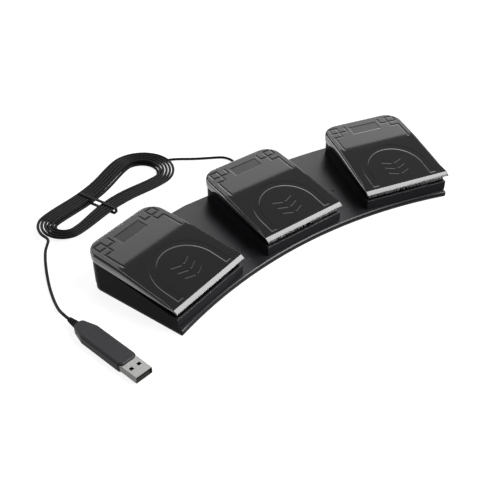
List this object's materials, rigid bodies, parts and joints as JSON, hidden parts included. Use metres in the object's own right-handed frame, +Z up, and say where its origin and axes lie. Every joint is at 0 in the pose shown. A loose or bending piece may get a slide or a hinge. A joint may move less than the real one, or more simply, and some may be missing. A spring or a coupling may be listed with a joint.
{
  "type": "usb foot pedal switch",
  "caption": "USB foot switch with three hinged pedals fanned out on a low curved base, and a coiled lead ending in a stick plug",
  "frame": {"origin": "on the floor, under the middle of the box that bounds the foot switch without its lead and plug", "axes": "+X to the user's right along the row of pedals, +Y away from the user towards the rear edge, +Z up"},
  "size_m": [0.2995, 0.2047, 0.0303],
  "materials": {
    "satin_black": "moulded black plastic, satin to glossy",
    "cover_black": "moulded black plastic, glossy, with engraved lines",
    "plate_steel": "black powder coat on sheet steel",
    "screw_steel": "zinc plated",
    "pin_steel": "ground steel",
    "foot_rubber": "soft black rubber",
    "white_nylon": "natural nylon",
    "board_green": "solder mask on glass laminate",
    "chip_black": "moulded epoxy",
    "lead_black": "smooth PVC sheath",
    "plug_grey": "satin dark grey plastic",
    "nickel": "nickel plated sheet",
    "gold": "gold plated contacts"
  },
  "bodies": {
    "base": {"base_shell": "satin_black", "bottom_plate": "plate_steel", "base_screws": "screw_steel", "rubber_feet": "foot_rubber", "control_spacers": "white_nylon", "control_board": "board_green", "control_parts": "chip_black", "left_wires": "lead_black", "middle_wires": "lead_black", "right_wires": "lead_black", "lead_core": "lead_black", "cable_grommet": "lead_black", "cable_lead": "lead_black", "cable_hank": "lead_black", "hank_tie": "lead_black", "cable_tail": "lead_black", "plug_boot": "lead_black", "plug_top_shell": "plug_grey", "plug_bottom_shell": "plug_grey", "usb_shell": "nickel", "usb_tongue": "white_nylon", "usb_contacts": "gold", "plug_board": "board_green", "left_hinge_pin": "pin_steel", "left_return_spring": "pin_steel", "left_bump_stop": "foot_rubber", "left_switch_board": "board_green", "left_switch_body": "chip_black", "left_board_screws": "screw_steel", "middle_hinge_pin": "pin_steel", "middle_return_spring": "pin_steel", "middle_bump_stop": "foot_rubber", "middle_switch_board": "board_green", "middle_switch_body": "chip_black", "middle_board_screws": "screw_steel", "right_hinge_pin": "pin_steel", "right_return_spring": "pin_steel", "right_bump_stop": "foot_rubber", "right_switch_board": "board_green", "right_switch_body": "chip_black", "right_board_screws": "screw_steel"},
    "left_pedal": {"left_cover": "cover_black"},
    "left_button": {"left_switch_plunger": "white_nylon"},
    "middle_pedal": {"middle_cover": "cover_black"},
    "middle_button": {"middle_switch_plunger": "white_nylon"},
    "right_pedal": {"right_cover": "cover_black"},
    "right_button": {"right_switch_plunger": "white_nylon"}
  },
  "joints": [
    {"name": "left_pedal_hinge", "type": "hinge", "parent": "base", "child": "left_pedal", "pos_m": [-0.10363, 0.02704, 0.0195], "axis": [0.9648, 0.263, 0], "range_deg": [0, 3], "stiffness_Nm_per_rad": 3, "springref_deg": -1.72, "deforming": ["left_return_spring"]},
    {"name": "left_button_slide", "type": "slide", "parent": "base", "child": "left_button", "axis": [0, 0, -1], "range_m": [0, 0.001]},
    {"name": "middle_pedal_hinge", "type": "hinge", "parent": "base", "child": "middle_pedal", "pos_m": [0, 0.04091, 0.0195], "axis": [1, 0, 0], "range_deg": [0, 3], "stiffness_Nm_per_rad": 3, "springref_deg": -1.72, "deforming": ["middle_return_spring"]},
    {"name": "middle_button_slide", "type": "slide", "parent": "base", "child": "middle_button", "axis": [0, 0, -1], "range_m": [0, 0.001]},
    {"name": "right_pedal_hinge", "type": "hinge", "parent": "base", "child": "right_pedal", "pos_m": [0.10363, 0.02704, 0.0195], "axis": [0.9648, -0.263, 0], "range_deg": [0, 3], "stiffness_Nm_per_rad": 3, "springref_deg": -1.72, "deforming": ["right_return_spring"]},
    {"name": "right_button_slide", "type": "slide", "parent": "base", "child": "right_button", "axis": [0, 0, -1], "range_m": [0, 0.001]}
  ],
  "couplings": [
    {"joint": "left_button_slide", "follows": "left_pedal_hinge", "m_per_rad": 0.018},
    {"joint": "middle_button_slide", "follows": "middle_pedal_hinge", "m_per_rad": 0.018},
    {"joint": "right_button_slide", "follows": "right_pedal_hinge", "m_per_rad": 0.018}
  ]
}
